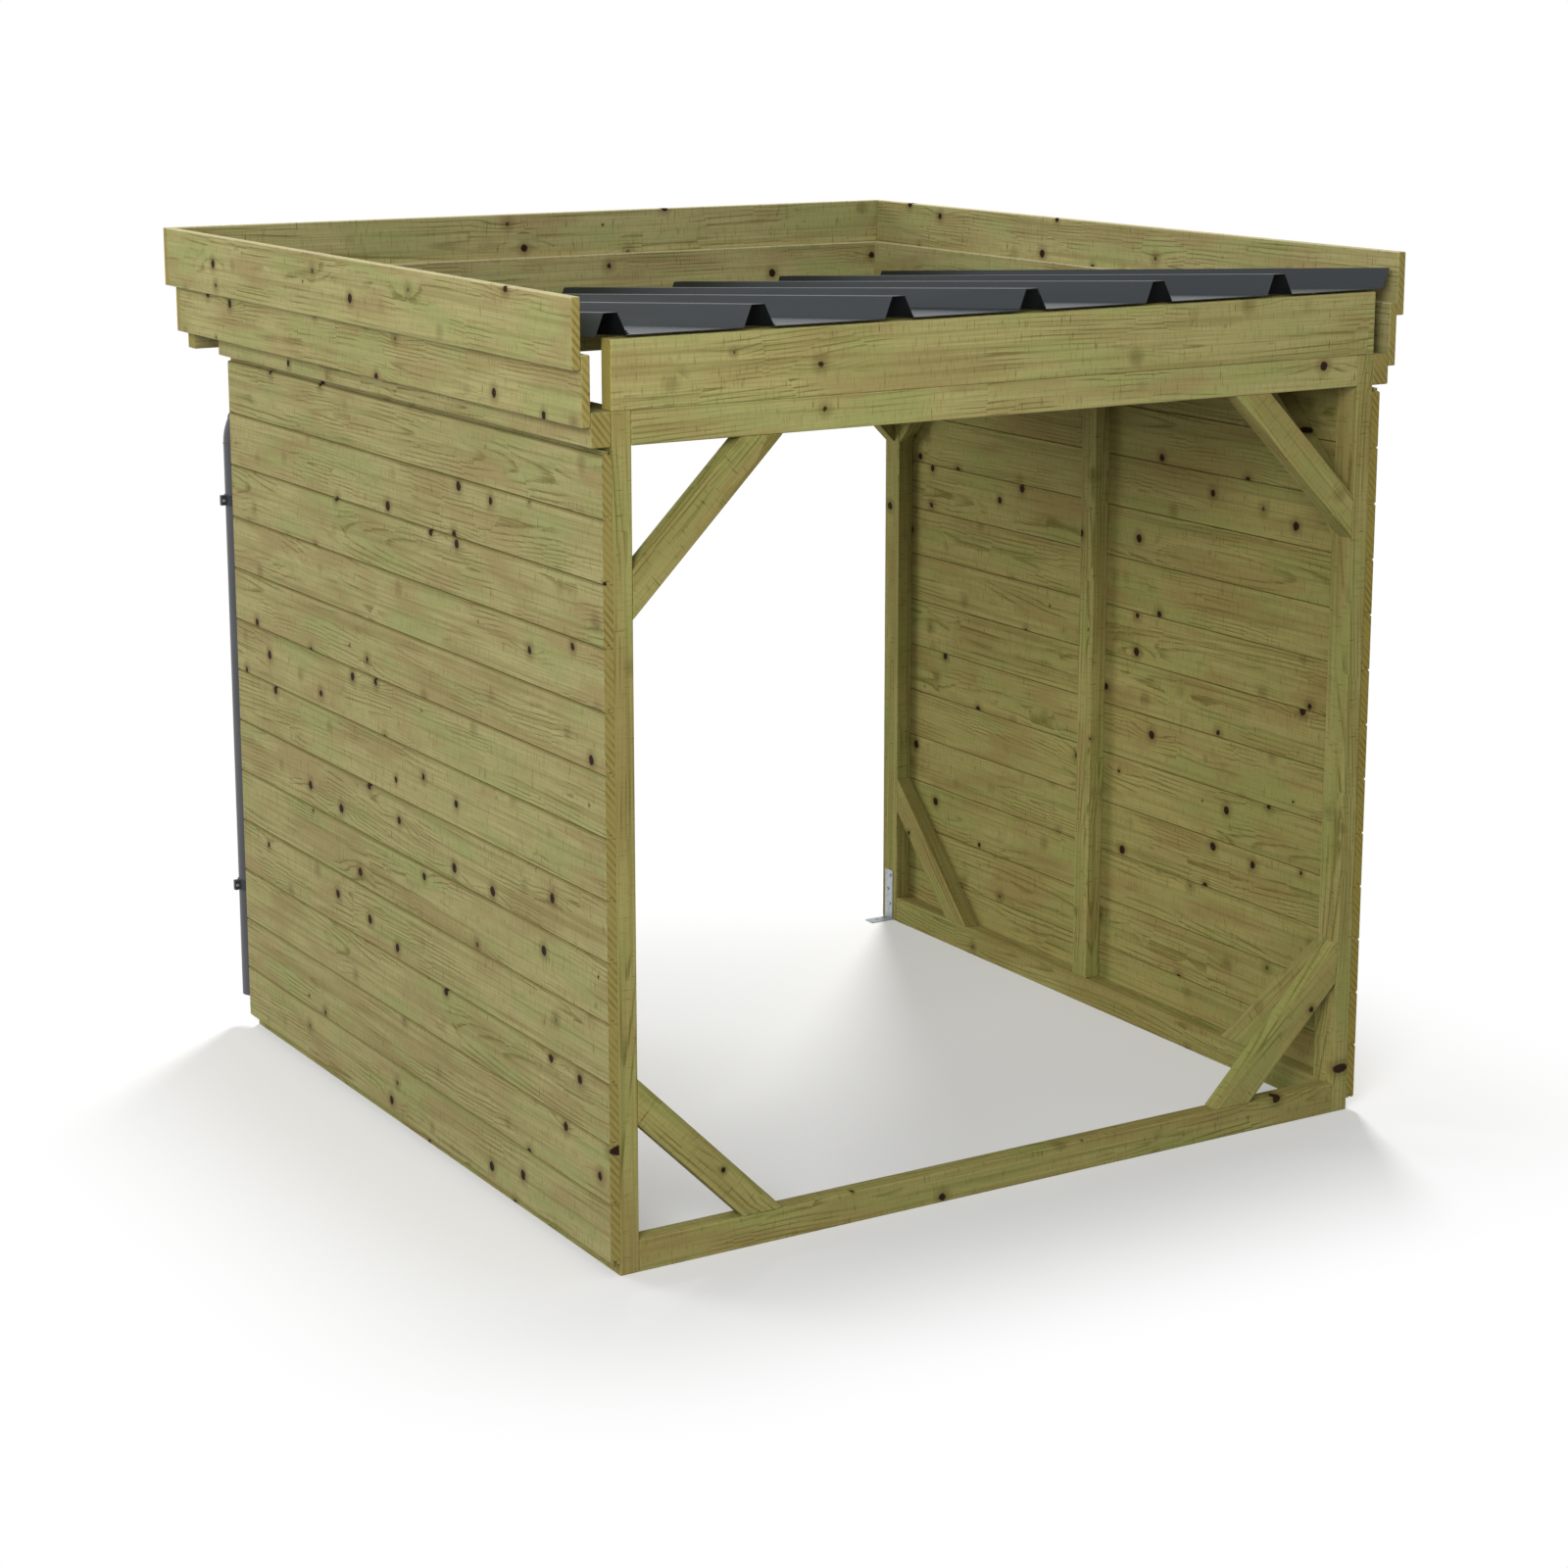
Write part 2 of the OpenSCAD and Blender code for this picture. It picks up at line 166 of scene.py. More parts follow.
class LogStoreRainwater(bpy.types.PropertyGroup):
    """Gutter, downpipe and clamps"""

    pipe_width: bpy.props.FloatProperty(
        name="Pipe width", description="Diameter of the downpipe", default=60 * MM, unit="LENGTH")
    clamp_height: bpy.props.FloatProperty(
        name="Clamp height", description="Height of a pipe clamp", default=25 * MM, unit="LENGTH")
    ear_thickness: bpy.props.FloatProperty(
        name="Ear thickness", description="Thickness of both ears that the clamp bolt joins",
        default=12 * MM, unit="LENGTH")
    shell: colour_property("Gutter and pipe", "Dark grey rainwater plastic", "#47484C")
    clamp: colour_property("Clamps", "Near-black glass-filled plastic", "#222429")
    dust: colour_property("Dust", "Dust on the plastic", "#77777A")


class LogStoreFixings(bpy.types.PropertyGroup):
    """Foot angles, their screws and the clamp bolts"""

    head: bpy.props.FloatProperty(
        name="Head", description="Diameter of a pan-head screw", default=9 * MM, unit="LENGTH")
    head_height: bpy.props.FloatProperty(
        name="Head height", description="Height of a pan-head screw", default=3 * MM, unit="LENGTH")
    screw_pitch: bpy.props.FloatProperty(
        name="Screw pitch", description="Distance between the screws of a foot angle",
        default=42 * MM, unit="LENGTH")
    zinc: colour_property("Zinc", "Hot-dip zinc on the angles and screws", "#B4B9BE")
    zinc_dark: colour_property("Dark zinc", "Crystals of the zinc turned from the light", "#8B9095")
    rubber: colour_property("Rubber", "EPDM rubber of the washers", "#1B1B1C")
    chalk: colour_property("Chalk", "Bloom on weathered rubber", "#4B4B4A")


class LogStoreStage(bpy.types.PropertyGroup):
    """Camera, floor and light"""

    eye: bpy.props.FloatVectorProperty(
        name="Eye", description="Place of the camera", size=3,
        default=(-3.947, -6.621, 2.602), subtype="XYZ", unit="LENGTH")
    turn: bpy.props.FloatProperty(
        name="Turn", description="Angle that the camera looks away from +Y, towards +X",
        default=math.radians(31.329), subtype="ANGLE")
    dip: bpy.props.FloatProperty(
        name="Dip", description="Angle that the camera looks down",
        default=math.radians(11.735), subtype="ANGLE")
    lens: bpy.props.FloatProperty(
        name="Lens", description="Focal length on a 36 mm sensor, in millimetres", default=73.91)
    lens_drop: bpy.props.FloatProperty(
        name="Lens drop", description="How far the lens sits below the sensor's middle, in widths",
        default=0.0787)
    sky: bpy.props.FloatProperty(
        name="Sky strength", description="Strength of the even light from all round", default=0.38)
    key: bpy.props.FloatProperty(
        name="Key power", description="Power of the large lamp at the front left", default=300.0)
    back: bpy.props.FloatProperty(
        name="Back power", description="Power of the large lamp at the back left", default=218.0)
    rim: bpy.props.FloatProperty(
        name="Rim power", description="Power of the large lamp at the back right", default=530.0)
    top: bpy.props.FloatProperty(
        name="Top power", description="Power of the soft lamp overhead", default=35.0)
    floor: colour_property("Floor", "Pale floor as the camera sees it", "#F2F2F2")
    floor_bounce: colour_property("Floor bounce", "Floor as the light sees it", "#949494")
    floor_white: bpy.props.FloatProperty(
        name="Floor white", description="Share of plain white that the camera sees in the floor",
        default=0.22, min=0.0, max=1.0, subtype="FACTOR")
    shadow_reach: bpy.props.FloatProperty(
        name="Shadow reach", description="Distance from the walls at which the floor is all white",
        default=0.85, unit="LENGTH")


SETTINGS = {
    "logstore_timber": LogStoreTimber,
    "logstore_roof": LogStoreRoof,
    "logstore_rainwater": LogStoreRainwater,
    "logstore_fixings": LogStoreFixings,
    "logstore_stage": LogStoreStage,
}


# ---- colours and nodes ----

def linear(hex_code):
    """The linear RGBA of an sRGB colour such as #A79F6E"""
    def channel(value):
        return value / 12.92 if value <= 0.04045 else ((value + 0.055) / 1.055) ** 2.4
    return tuple(channel(int(hex_code[k:k + 2], 16) / 255) for k in (1, 3, 5)) + (1.0,)


def add(tree, kind, values=(), **settings):
    """Adds a node, sets its properties, and sets or links its inputs. The values go to the
    sockets in use, in their order or by name. A node given as a value links its first output."""
    node = tree.nodes.new(kind)
    for name, value in settings.items():
        setattr(node, name, value)
    in_use = [socket for socket in node.inputs if socket.enabled]
    for key, value in (values.items() if isinstance(values, dict) else enumerate(values)):
        socket = in_use[key] if isinstance(key, int) else node.inputs[key]
        if isinstance(value, bpy.types.Node):
            value = next(output for output in value.outputs if output.enabled)
        if isinstance(value, bpy.types.NodeSocket):
            tree.links.new(value, socket)
        else:
            socket.default_value = value
    return node


def new_material(name):
    """An empty material, its tree, and the adder of nodes to that tree"""
    material = bpy.data.materials.new(name)
    material.use_nodes = True
    material.node_tree.nodes.clear()
    return material, functools.partial(add, material.node_tree)


# ---- treated pine ----

# how long, wide and deep each feature of the wood is
PITH_BEND = (1.3, 4.0, 4.0)
HAND_WAVE = (0.45, 0.05, 0.05)
FRAYED_EDGE = (0.06, 0.004, 0.004)
FIBRE = (0.22, 0.0032, 0.0032)
STREAK = (0.7, 0.011, 0.011)
SALT_CLOUD = (0.30, 0.075, 0.075)
PLANER_MARK = (0.0035, 0.03, 0.03)
# the width and depth of the wood that one branch grows through
BRANCH_ROOM = (115 * MM, 90 * MM)
# an eye in the grain is over four times as long as it is wide
EYE_SHAPE = (0.22, 1.0, 1.0)
# how far the pith drifts across and into the timber, and how far waves and frays move a ring
PITH_DRIFT = (0.0, 0.10, 0.16)
WAVE_SHIFT = 5 * MM
FRAY_SHIFT = 2.4 * MM
# the outline of a knot, and the rings on a cut end, which stand wider apart to show
KNOT_RAG_WIDTH = 13 * MM
KNOT_RAG_DEPTH = 5 * MM
END_SLANT = (0.0, 1.0, 1.25)
END_RING_SPREAD = 1.9
END_FRAY_SHIFT = 5 * MM
# where the pith may lie beside and under the face of a timber, and how far along the trunk
PITH_SIDE = 0.04
PITH_DEPTH = (0.012, 0.034)
TRUNK_LENGTH = 40
# how squarely a face looks along the grain, out of the board or upwards
END_FACING = 0.6
FLAT_FACING = 0.9
TOP_FACING = 0.3


def treated_pine(name, cast):
    """Pressure-treated pine, planed. Flat-sawn growth rings give the eye long nested arcs,
    the copper salts an olive cast that comes and goes, and branches small dark knots with
    the grain drawn round them. The cut ends are golden, with slanting rings.
    Each Map Range lists its source, the two values it runs between, and what they become."""
    look = bpy.context.scene.logstore_timber
    material, put = new_material(name)

    def wood(hex_code):
        return tuple(a * b for a, b in zip(linear(hex_code), linear(cast)))

    # x runs along the grain, y across the face and z into the timber
    grain = put("ShaderNodeAttribute", attribute_name="grain").outputs["Vector"]
    cut = put("ShaderNodeAttribute", attribute_name="cut_end").outputs["Fac"]
    bevel = put("ShaderNodeAttribute", attribute_name="bevel").outputs["Fac"]
    faded = put("ShaderNodeAttribute", attribute_name="faded").outputs["Fac"]

    # one branch to a cell of wood, longer into the timber than it is wide
    cell = Vector((look.knot_gap, *BRANCH_ROOM))
    place = put("ShaderNodeVectorMath", [grain, cell], operation="DIVIDE")
    branch = put("ShaderNodeTexVoronoi", {"Vector": place, "Scale": 1.0, "Randomness": 0.9})
    away = put("ShaderNodeVectorMath", [place, branch.outputs["Position"]], operation="SUBTRACT")
    away = put(
        "ShaderNodeVectorMath", [away, (cell.x, cell.y, 0.5 * cell.z)], operation="MULTIPLY")
    # its outline is ragged by a few millimetres
    ragged = put(
        "ShaderNodeTexNoise", {"Vector": grain, "Scale": 1 / KNOT_RAG_WIDTH, "Detail": 1.0})
    away = put(
        "ShaderNodeVectorMath", [ragged.outputs["Color"], (KNOT_RAG_DEPTH,) * 3, away],
        operation="MULTIPLY_ADD")
    chance = put("ShaderNodeSeparateColor", [branch.outputs["Color"]])
    # a fifth of the branches fell before the trunk grew over them, a few are twigs
    knot_r = put(
        "ShaderNodeMapRange",
        [chance, 0.4, 0.66, 0.15 * look.knot_width, 0.53 * look.knot_width],
        interpolation_type="SMOOTHSTEP")
    grown = put("ShaderNodeMath", [chance, 0.2], operation="GREATER_THAN")
    knot_d = put("ShaderNodeVectorMath", [away], operation="LENGTH")
    knot_d = put("ShaderNodeMath", [knot_d, knot_r], operation="DIVIDE")
    core = put(
        "ShaderNodeMapRange", [knot_d, 0.72, 1.04, 1.0, 0.0], interpolation_type="SMOOTHSTEP")
    core = put("ShaderNodeMath", [core, grown], operation="MULTIPLY")
    halo = put("ShaderNodeMapRange", [knot_d, 0.9, 2.6, 1.0, 0.0], interpolation_type="SMOOTHSTEP")
    halo = put("ShaderNodeMath", [halo, grown], operation="MULTIPLY")
    # the rings swerve round it over a long, narrow eye
    eye = put("ShaderNodeVectorMath", [away, EYE_SHAPE], operation="MULTIPLY")
    eye = put("ShaderNodeVectorMath", [eye], operation="LENGTH")
    eye = put("ShaderNodeMath", [eye, put("ShaderNodeMath", [knot_r, 1.7], operation="MULTIPLY")],
              operation="DIVIDE")
    eye = put("ShaderNodeMath", [eye, eye, 1.0], operation="MULTIPLY_ADD")
    swerve = put("ShaderNodeMath", [knot_r, 2.1], operation="MULTIPLY")
    swerve = put("ShaderNodeMath", [swerve, eye], operation="DIVIDE")
    swerve = put("ShaderNodeMath", [swerve, grown], operation="MULTIPLY")

    # the pith wanders along the trunk, which draws the arcs out on a flat-sawn face
    slow = put("ShaderNodeVectorMath", [grain, PITH_BEND], operation="DIVIDE")
    slow = put("ShaderNodeTexNoise", {"Vector": slow, "Scale": 1.0, "Detail": 0.0})
    slow = put(
        "ShaderNodeVectorMath", [slow.outputs["Color"], (0.5, 0.5, 0.5)], operation="SUBTRACT")
    bent = put("ShaderNodeVectorMath", [slow, PITH_DRIFT, grain], operation="MULTIPLY_ADD")
    bent = put("ShaderNodeVectorMath", [bent, (0.0, 1.0, 1.0)], operation="MULTIPLY")
    radius = put("ShaderNodeVectorMath", [bent], operation="LENGTH")
    radius = put("ShaderNodeMath", [radius, swerve], operation="ADD")
    # waves a hand long and frayed edges a millimetre wide
    wave = put("ShaderNodeVectorMath", [grain, HAND_WAVE], operation="DIVIDE")
    wave = put("ShaderNodeTexNoise", {"Vector": wave, "Scale": 1.0, "Detail": 1.0})
    radius = put("ShaderNodeMath", [wave, WAVE_SHIFT, radius], operation="MULTIPLY_ADD")
    fray = put("ShaderNodeVectorMath", [grain, FRAYED_EDGE], operation="DIVIDE")
    fray = put("ShaderNodeTexNoise", {"Vector": fray, "Scale": 1.0, "Detail": 2.0})
    radius = put("ShaderNodeMath", [fray, FRAY_SHIFT, radius], operation="MULTIPLY_ADD")
    ring = put("ShaderNodeMath", [radius, look.ring_gap], operation="DIVIDE")
    ring = put("ShaderNodeMath", [ring], operation="FRACT")
    # late wood darkens slowly across a ring and stops at once
    late = put("ShaderNodeMapRange", [ring, 0.5, 0.86, 0.0, 1.0], interpolation_type="SMOOTHSTEP")
    stop = put("ShaderNodeMapRange", [ring, 0.87, 0.98, 1.0, 0.0], interpolation_type="SMOOTHSTEP")
    late = put("ShaderNodeMath", [late, stop], operation="MULTIPLY")

    fibre = put("ShaderNodeVectorMath", [grain, FIBRE], operation="DIVIDE")
    fibre = put(
        "ShaderNodeTexNoise", {"Vector": fibre, "Scale": 1.0, "Detail": 3.0, "Roughness": 0.6})
    streak = put("ShaderNodeVectorMath", [grain, STREAK], operation="DIVIDE")
    streak = put("ShaderNodeTexNoise", {"Vector": streak, "Scale": 1.0, "Detail": 1.0})
    cloud = put("ShaderNodeVectorMath", [grain, SALT_CLOUD], operation="DIVIDE")
    cloud = put("ShaderNodeTexNoise", {"Vector": cloud, "Scale": 1.0, "Detail": 2.0})
    patch = put("ShaderNodeSeparateColor", [cloud.outputs["Color"]])

    tone = put("ShaderNodeMapRange", [fibre, 0.32, 0.7, 0.0, 0.32], interpolation_type="SMOOTHSTEP")
    colour = put("ShaderNodeMix", [tone, wood(look.pale), wood(look.dark)], data_type="RGBA")
    tone = put("ShaderNodeMapRange", [patch, 0.45, 0.66, 0.0, 0.7], interpolation_type="SMOOTHSTEP")
    colour = put("ShaderNodeMix", [tone, colour, wood(look.green)], data_type="RGBA")
    tone = put(
        "ShaderNodeMapRange", [patch.outputs[1], 0.45, 0.66, 0.0, 0.7],
        interpolation_type="SMOOTHSTEP")
    colour = put("ShaderNodeMix", [tone, colour, wood(look.brown)], data_type="RGBA")
    tone = put("ShaderNodeMapRange", [streak, 0.5, 0.68, 0.0, 0.3], interpolation_type="SMOOTHSTEP")
    colour = put("ShaderNodeMix", [tone, colour, wood(look.dark)], data_type="RGBA")
    # the rings show strongly in some places and hardly at all in others
    tone = put(
        "ShaderNodeMapRange", [patch.outputs[2], 0.47, 0.6, 0.1, 0.85],
        interpolation_type="SMOOTHSTEP")
    tone = put("ShaderNodeMath", [late, tone], operation="MULTIPLY")
    # and the dark of a ring lies in fibres, never as one flat stain
    drawn = put(
        "ShaderNodeMapRange", [fibre, 0.38, 0.56, 0.5, 1.0], interpolation_type="SMOOTHSTEP")
    tone = put("ShaderNodeMath", [tone, drawn], operation="MULTIPLY")
    colour = put("ShaderNodeMix", [tone, colour, wood(look.dark)], data_type="RGBA")
    tone = put("ShaderNodeMath", [halo, 0.4], operation="MULTIPLY")
    colour = put("ShaderNodeMix", [tone, colour, wood(look.knot_rim)], data_type="RGBA")

    # painted shade: the bevels of a tongued and grooved board are painted darker, standing in for
    # the shade in the grooves between the boards
    tone = put("ShaderNodeMath", [bevel, 0.55], operation="MULTIPLY")
    colour = put("ShaderNodeMix", [tone, colour, wood(look.dark)], data_type="RGBA")
    # painted highlight: the top faces of a fascia board are painted paler, standing in for the
    # light from above
    tone = put("ShaderNodeMath", [faded, 0.7], operation="MULTIPLY")
    colour = put("ShaderNodeMix", [tone, colour, wood(look.faded)], data_type="RGBA")

    # the planer's knives leave faint marks across the grain
    chatter = put("ShaderNodeVectorMath", [grain, PLANER_MARK], operation="DIVIDE")
    chatter = put("ShaderNodeTexNoise", {"Vector": chatter, "Scale": 1.0, "Detail": 2.0})
    tone = put(
        "ShaderNodeMapRange", [chatter, 0.5, 0.72, 0.0, 0.3], interpolation_type="SMOOTHSTEP")
    colour = put("ShaderNodeMix", [tone, colour, wood(look.dark)], data_type="RGBA")
    # and here and there a torn fibre stands out dark
    tone = put(
        "ShaderNodeMapRange", [chatter, 0.67, 0.76, 0.0, 0.6], interpolation_type="SMOOTHSTEP")
    colour = put("ShaderNodeMix", [tone, colour, wood(look.knot_rim)], data_type="RGBA")

    # the rings cross a cut end on the slant, a good way apart
    slant = put("ShaderNodeVectorMath", [grain, END_SLANT], operation="DOT_PRODUCT")
    slant = put("ShaderNodeMath", [fray, END_FRAY_SHIFT, slant], operation="MULTIPLY_ADD")
    slant = put("ShaderNodeMath", [slant, END_RING_SPREAD * look.ring_gap], operation="DIVIDE")
    slant = put("ShaderNodeMath", [slant], operation="FRACT")
    stripe = put(
        "ShaderNodeMapRange", [slant, 0.25, 0.6, 0.0, 1.0], interpolation_type="SMOOTHSTEP")
    stop = put("ShaderNodeMapRange", [slant, 0.78, 0.98, 1.0, 0.0], interpolation_type="SMOOTHSTEP")
    stripe = put("ShaderNodeMath", [stripe, stop], operation="MULTIPLY")
    tone = put("ShaderNodeMapRange", [cloud, 0.35, 0.65, 0.15, 0.8])
    stripe = put("ShaderNodeMath", [stripe, tone], operation="MULTIPLY")
    cut_colour = put(
        "ShaderNodeMix", [stripe, wood(look.end_pale), wood(look.end_dark)], data_type="RGBA")
    colour = put("ShaderNodeMix", [cut, colour, cut_colour], data_type="RGBA")
    colour = put("ShaderNodeMix", [core, colour, wood(look.knot)], data_type="RGBA")

    height = put("ShaderNodeMath", [late, 0.35, fibre], operation="MULTIPLY_ADD")
    height = put("ShaderNodeMath", [core, 0.8, height], operation="MULTIPLY_ADD")
    bump = put("ShaderNodeBump", {"Strength": 0.35, "Distance": 0.8 * MM, "Height": height})
    rough = put("ShaderNodeMapRange", [fibre, 0.2, 0.8, 0.68, 0.84])
    shader = put(
        "ShaderNodeBsdfPrincipled",
        {"Base Color": colour, "Roughness": rough, "Normal": bump, "IOR": 1.45,
         "Specular IOR Level": 0.15})
    put("ShaderNodeOutputMaterial", {"Surface": shader})
    return material


def grain_axis(name, size):
    """The way the grain runs in a timber: along a brace, and else along the longest side"""
    if name.endswith("brace"):
        rising = name.replace("_wall", "").replace("_brace", "").split("_")
        if "wall" in name:
            near = "front" in rising
            return Vector((0, 1, 1 if near == ("top" in rising) else -1)).normalized()
        left = "left" in rising
        return Vector((1, 0, 1 if left == ("top" in rising) else -1)).normalized()
    longest = max(range(3), key=lambda axis: size[axis])
    return Vector([1.0 if axis == longest else 0.0 for axis in range(3)])


def solids_of(mesh):
    """The separate solids of a bmesh, as lists of vertices, lowest first"""
    left = set(mesh.verts)
    solids = []
    while left:
        solid, edge = set(), [left.pop()]
        while edge:
            vert = edge.pop()
            solid.add(vert)
            for link in vert.link_edges:
                other = link.other_vert(vert)
                if other in left:
                    left.discard(other)
                    edge.append(other)
        solids.append(sorted(solid, key=lambda v: v.index))
    return sorted(
        solids, key=lambda verts: (min(v.co.z for v in verts), min(v.co.x for v in verts)))


def box_of(verts):
    """The lowest and highest corner round some vertices"""
    low = Vector([min(v.co[axis] for v in verts) for axis in range(3)])
    high = Vector([max(v.co[axis] for v in verts) for axis in range(3)])
    return low, high


def lay_grain(mesh, name, draw):
    """Gives each solid of a piece its own run of wood, and marks its cut ends, its bevels,
    which take painted shade, and its top faces, which take a painted highlight"""
    grain = mesh.verts.layers.float_vector.new("grain")
    cut_end = mesh.faces.layers.float.new("cut_end")
    bevel = mesh.faces.layers.float.new("bevel")
    faded = mesh.faces.layers.float.new("faded")
    axis_of = {}
    for verts in solids_of(mesh):
        low, high = box_of(verts)
        along = grain_axis(name, high - low)
        thin = min(range(3), key=lambda k: (high - low)[k])
        into = Vector([1.0 if k == thin else 0.0 for k in range(3)])
        across = into.cross(along).normalized()
        middle = (low + high) / 2
        start = draw.uniform(0, TRUNK_LENGTH)
        beside = draw.uniform(-PITH_SIDE, PITH_SIDE)
        pith = Vector((start, beside, draw.choice((-1, 1)) * draw.uniform(*PITH_DEPTH)))
        for vert in verts:
            place = vert.co - middle
            vert[grain] = Vector((place.dot(along), place.dot(across), place.dot(into))) + pith
            axis_of[vert] = along, into
    for face in mesh.faces:
        along, into = axis_of[face.verts[0]]
        ends = abs(face.normal.dot(along)) > END_FACING
        slants = abs(face.normal.dot(into)) < FLAT_FACING
        face[cut_end] = float(ends)
        # the wall boards' bevels, which take the painted shade
        face[bevel] = float(name in BOARD_NODES and slants and not ends)
        # the fascia boards' top faces, which take the painted highlight
        face[faded] = float(name in FASCIA_NODES and face.normal.z > TOP_FACING)


def merged_copy(name):
    """A bmesh of a CAD node with its triangles joined into flat faces"""
    mesh = bmesh.new()
    mesh.from_mesh(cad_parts[name].data)
    bmesh.ops.remove_doubles(mesh, verts=mesh.verts, dist=MERGE_DISTANCE)
    bmesh.ops.dissolve_limit(
        mesh, angle_limit=math.radians(0.5), verts=mesh.verts, edges=mesh.edges)
    return mesh


def ease_edges(mesh, width, segments=2):
    """Rounds every sharp outer edge"""
    sharp = [
        edge for edge in mesh.edges
        if len(edge.link_faces) == 2 and edge.calc_face_angle_signed(0) > math.radians(30)
    ]
    bmesh.ops.bevel(
        mesh, geom=sharp, offset=width, segments=segments, profile=0.5, affect="EDGES",
        clamp_overlap=True)


def finish_piece(mesh, name, node, material):
    """Puts a bmesh in the scene in place of a CAD node"""
    data = bpy.data.meshes.new(name)
    mesh.to_mesh(data)
    mesh.free()
    data.materials.append(material)
    piece = bpy.data.objects.new(name, data)
    bpy.context.scene.collection.objects.link(piece)
    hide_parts(node)
    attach(piece, "root")
    return piece


def dress_timber(names, material, arris, seed):
    """Puts a planed piece in place of each CAD node, with the grain laid along it"""
    draw = random.Random(seed)
    for name in names:
        mesh = merged_copy(name)
        if arris > 0:
            ease_edges(mesh, arris)
        mesh.verts.index_update()
        mesh.normal_update()
        lay_grain(mesh, name, draw)
        finish_piece(mesh, name + "_planed", name, material)


# ---- steel, plastic and zinc ----

def coated_steel(name):
    """Steel sheet with an anthracite polyester coat, roll-formed. The coat is dark and satin
    where the eye looks into it and mirrors the sky at a low angle, over pans that are never
    quite flat. The underside has only a matt backing coat."""
    look = bpy.context.scene.logstore_roof
    material, put = new_material(name)
    place = put("ShaderNodeTexCoord").outputs["Object"]
    peel = put("ShaderNodeTexNoise", {"Vector": place, "Scale": 1 / (4 * MM), "Detail": 1.0})
    rolled = put("ShaderNodeVectorMath", [place, (0.12, 0.5, 0.12)], operation="DIVIDE")
    rolled = put("ShaderNodeTexNoise", {"Vector": rolled, "Scale": 1.0, "Detail": 1.0})
    rain = put("ShaderNodeVectorMath", [place, (0.025, 0.6, 0.1)], operation="DIVIDE")
    rain = put("ShaderNodeTexNoise", {"Vector": rain, "Scale": 1.0, "Detail": 4.0})
    tone = put("ShaderNodeMapRange", [rain, 0.4, 0.75, 0.0, 0.05], interpolation_type="SMOOTHSTEP")
    colour = put("ShaderNodeMix", [tone, linear(look.coat), linear(look.dust)], data_type="RGBA")
    waves = put("ShaderNodeBump", {"Strength": 0.5, "Distance": 0.3 * MM, "Height": rolled})
    bump = put(
        "ShaderNodeBump", {"Strength": 0.1, "Distance": 0.2 * MM, "Height": peel, "Normal": waves})
    rough = put(
        "ShaderNodeMapRange",
        [rain, 0.3, 0.7, look.coat_roughness - 0.05, look.coat_roughness + 0.07])
    coat = put(
        "ShaderNodeBsdfPrincipled",
        {"Base Color": colour, "Roughness": rough, "Normal": bump, "IOR": 1.5,
         "Specular IOR Level": 0.34})
    backing = put(
        "ShaderNodeBsdfPrincipled",
        {"Base Color": linear(look.backing), "Roughness": 0.8, "Specular IOR Level": 0.1})
    # no rib is so steep that its top side faces down
    facing = put("ShaderNodeTexCoord").outputs["Normal"]
    facing = put("ShaderNodeSeparateXYZ", [facing])
    under = put("ShaderNodeMath", [facing.outputs["Z"], 0.0], operation="LESS_THAN")
    shader = put("ShaderNodeMixShader", [under, coat, backing])
    put("ShaderNodeOutputMaterial", {"Surface": shader})
    return material


def rainwater_plastic(name, hex_code, roughness):
    """Extruded or moulded rainwater plastic: satin, with a fine die grain and a little dust"""
    look = bpy.context.scene.logstore_rainwater
    material, put = new_material(name)
    place = put("ShaderNodeTexCoord").outputs["Object"]
    grit = put("ShaderNodeTexNoise", {"Vector": place, "Scale": 1 / (3 * MM), "Detail": 2.0})
    film = put("ShaderNodeTexNoise", {"Vector": place, "Scale": 1 / (120 * MM), "Detail": 4.0})
    tone = put("ShaderNodeMapRange", [film, 0.35, 0.75, 0.0, 0.2], interpolation_type="SMOOTHSTEP")
    colour = put("ShaderNodeMix", [tone, linear(hex_code), linear(look.dust)], data_type="RGBA")
    bump = put("ShaderNodeBump", {"Strength": 0.1, "Distance": 0.3 * MM, "Height": grit})
    rough = put("ShaderNodeMapRange", [film, 0.3, 0.7, roughness - 0.06, roughness + 0.08])
    shader = put(
        "ShaderNodeBsdfPrincipled",
        {"Base Color": colour, "Roughness": rough, "Normal": bump, "IOR": 1.5})
    put("ShaderNodeOutputMaterial", {"Surface": shader})
    return material


def dipped_zinc(name):
    """Hot-dip zinc on pressed steel: dull grey with a patchy spangle of small crystals"""
    look = bpy.context.scene.logstore_fixings
    material, put = new_material(name)
    place = put("ShaderNodeTexCoord").outputs["Object"]
    crystal = put("ShaderNodeTexVoronoi", {"Vector": place, "Scale": 1 / (6 * MM)})
    crystal = put("ShaderNodeSeparateColor", [crystal.outputs["Color"]])
    tone = put("ShaderNodeMapRange", [crystal, 0.0, 1.0, 0.0, 0.4])
    colour = put(
        "ShaderNodeMix", [tone, linear(look.zinc), linear(look.zinc_dark)], data_type="RGBA")
    rough = put("ShaderNodeMapRange", [crystal, 0.0, 1.0, 0.36, 0.52])
    shader = put(
        "ShaderNodeBsdfPrincipled", {"Base Color": colour, "Roughness": rough, "Metallic": 0.85})
    put("ShaderNodeOutputMaterial", {"Surface": shader})
    return material


